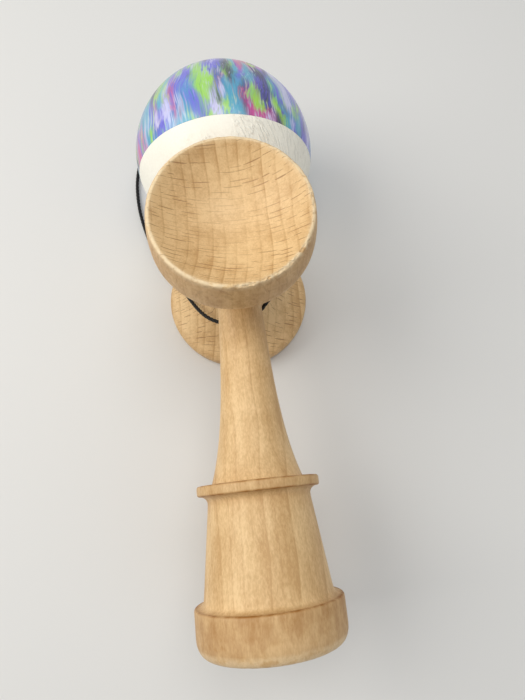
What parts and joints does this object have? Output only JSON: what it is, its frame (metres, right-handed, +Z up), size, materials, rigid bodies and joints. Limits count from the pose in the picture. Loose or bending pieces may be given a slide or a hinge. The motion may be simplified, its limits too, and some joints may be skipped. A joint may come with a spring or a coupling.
{
  "type": "kendama",
  "caption": "Turned wooden cup-and-ball toy: a handle with base cup and spike, a cross piece with a small and a big cup, and a painted ball tied on by a string.",
  "frame": {"origin": "on the table under the middle of the toy's length, below the ken's axis", "axes": "+Y along the ken from its base cup to the ball, +Z up along the sarado from the big cup to the small cup, +X to the side where the string leaves the sarado"},
  "size_m": [0.0668, 0.2154, 0.068],
  "materials": {
    "ken_wood": "bare beech, lengthways grain",
    "sarado_wood": "bare beech, worn cups",
    "tama_wood": "bare beech",
    "tama_paint": "glossy streaked paint",
    "tama_band": "satin ivory paint",
    "bead": "smooth plastic",
    "string": "twisted nylon cord"
  },
  "bodies": {
    "ken": {"ken": "ken_wood", "sarado": "sarado_wood", "ken_knot": "string", "string_in_ken": "string", "string": "string"},
    "bead": {"tama_bead": "bead", "bead_knot": "string", "string_in_tama": "string"},
    "tama": {"tama": "tama_wood", "tama_paint": "tama_paint", "tama_band": "tama_band"}
  },
  "joints": [
    {"name": "tama_lift", "type": "slide", "parent": "ken", "child": "bead", "axis": [0, 1, 0], "range_m": [0, 0.045], "deforming": ["string"]},
    {"name": "tama_spin", "type": "hinge", "parent": "bead", "child": "tama", "pos_m": [0, 0.06117, 0.03], "axis": [0, 1, 0], "continuous": true}
  ]
}
